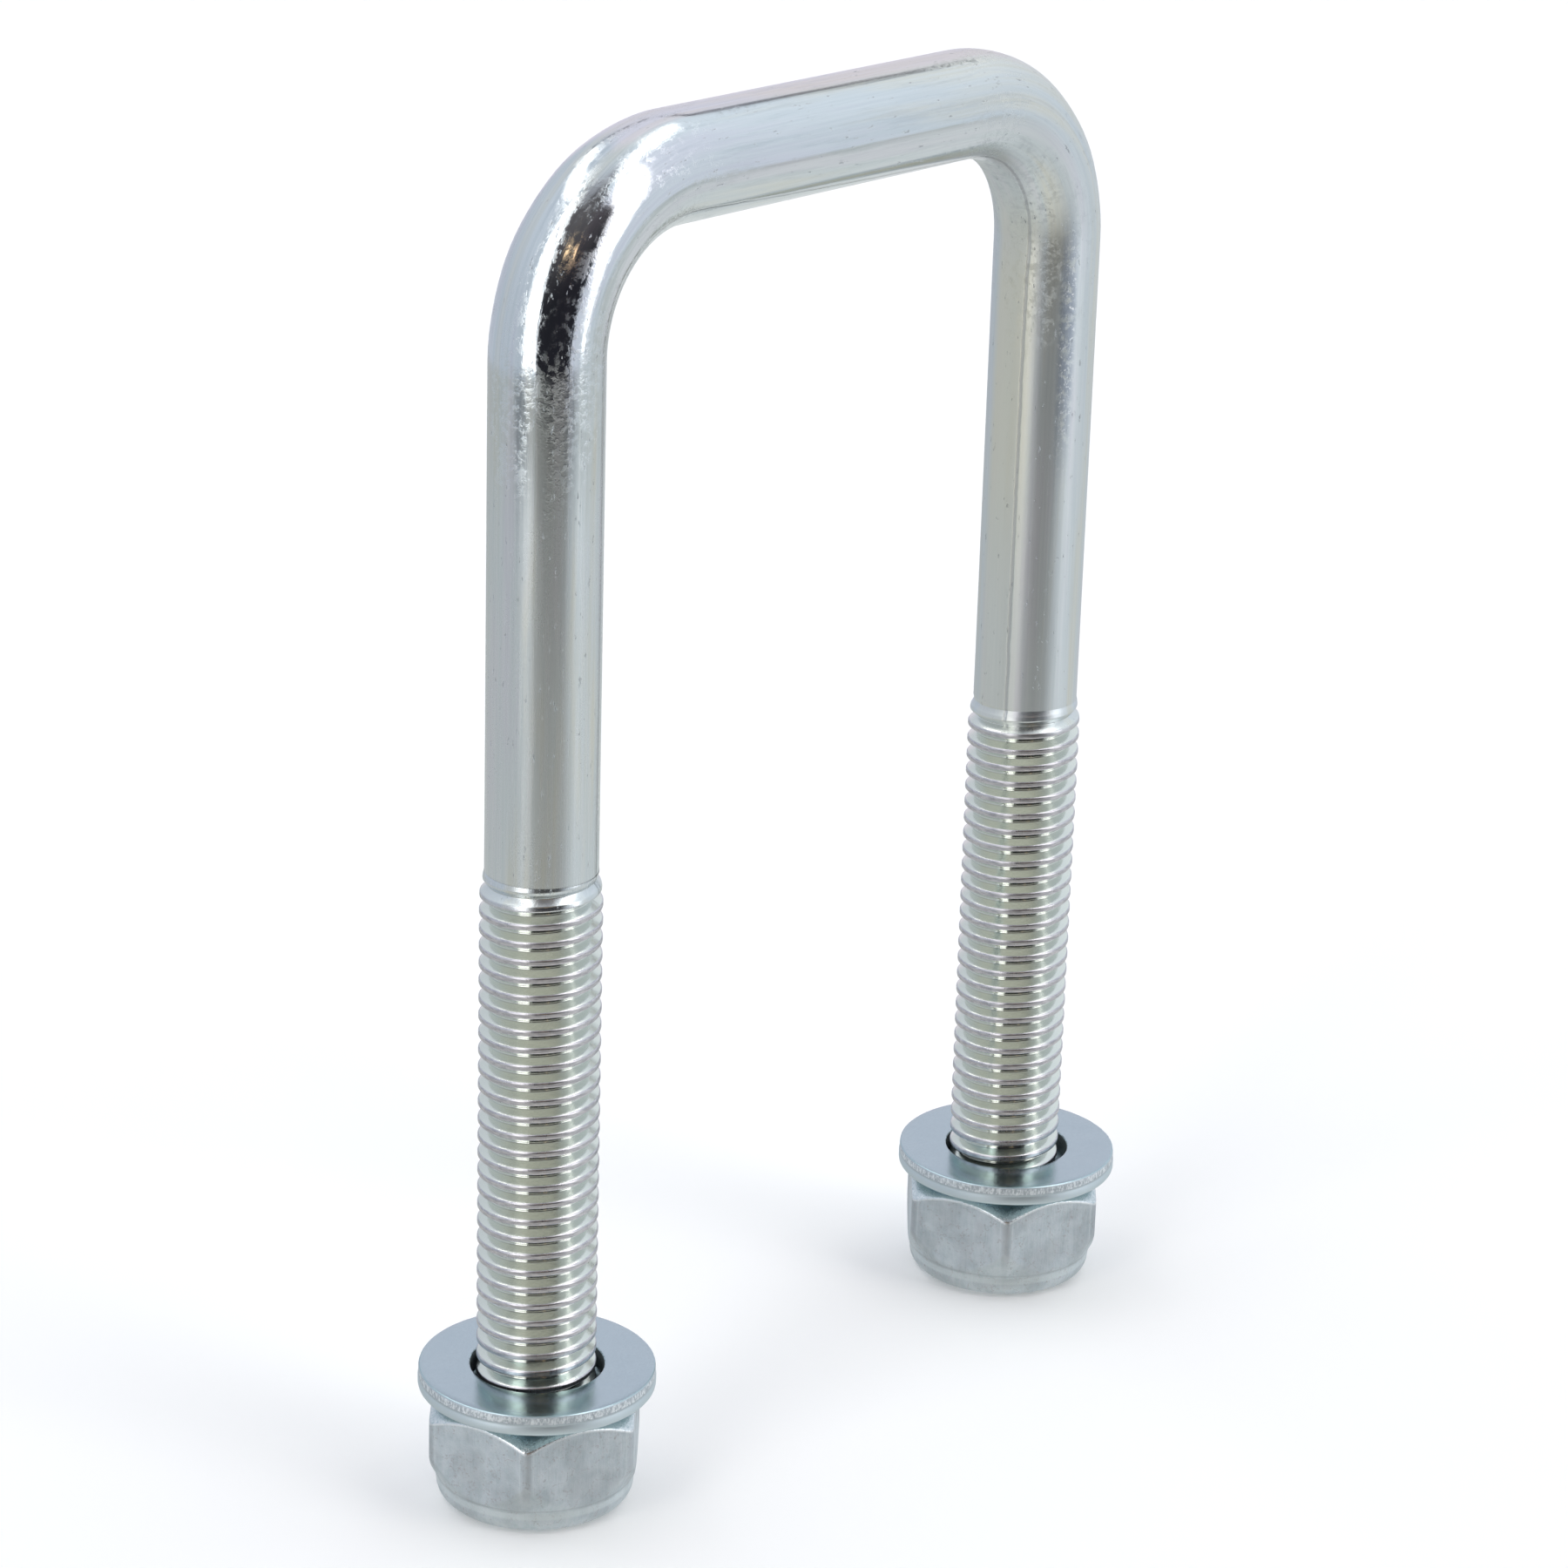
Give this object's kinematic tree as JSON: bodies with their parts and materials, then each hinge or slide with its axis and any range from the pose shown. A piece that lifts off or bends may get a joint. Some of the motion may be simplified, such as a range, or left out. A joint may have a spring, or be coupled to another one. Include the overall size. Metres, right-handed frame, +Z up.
{
  "type": "u-bolt",
  "caption": "Square-cornered U-bolt: a bent rod with a threaded end on each leg, and a flat washer and a nylon-insert lock nut on each thread.",
  "frame": {"origin": "midway between the two legs, on the plane that the nuts' collars stand on", "axes": "+Z up along the legs to the crown, +X from the left leg to the right leg, +Y across the bar"},
  "size_m": [0.081, 0.02, 0.1142],
  "materials": {
    "bright_zinc": "bright zinc plate on drawn steel rod, clear passivated",
    "satin_zinc": "satin zinc plate on stamped steel, faint blue",
    "dull_zinc": "dull mottled zinc plate on forged steel",
    "nylon": "translucent white nylon"
  },
  "bodies": {
    "bar": {"u_bar": "bright_zinc"},
    "left_ring": {"left_nylon_ring": "nylon"},
    "left_nut": {"left_nut": "dull_zinc"},
    "left_washer": {"left_washer": "satin_zinc"},
    "right_ring": {"right_nylon_ring": "nylon"},
    "right_nut": {"right_nut": "dull_zinc"},
    "right_washer": {"right_washer": "satin_zinc"}
  },
  "joints": [
    {"name": "left_nut_travel", "type": "slide", "parent": "bar", "child": "left_ring", "axis": [0, 0, 1], "range_m": [-0.0059, 0.0431]},
    {"name": "left_nut_turn", "type": "hinge", "parent": "left_ring", "child": "left_nut", "pos_m": [-0.0305, 0, 0.005], "axis": [0, 0, 1], "range_deg": [-1404, 10320]},
    {"name": "left_washer_slide", "type": "slide", "parent": "left_ring", "child": "left_washer", "axis": [0, 0, 1], "range_m": [0, 0.041]},
    {"name": "right_nut_travel", "type": "slide", "parent": "bar", "child": "right_ring", "axis": [0, 0, 1], "range_m": [-0.0059, 0.0431]},
    {"name": "right_nut_turn", "type": "hinge", "parent": "right_ring", "child": "right_nut", "pos_m": [0.0305, 0, 0.005], "axis": [0, 0, 1], "range_deg": [-1404, 10320]},
    {"name": "right_washer_slide", "type": "slide", "parent": "right_ring", "child": "right_washer", "axis": [0, 0, 1], "range_m": [0, 0.041]}
  ],
  "couplings": [
    {"joint": "left_nut_travel", "follows": "left_nut_turn", "m_per_rad": 0.00023873},
    {"joint": "right_nut_travel", "follows": "right_nut_turn", "m_per_rad": 0.00023873}
  ]
}
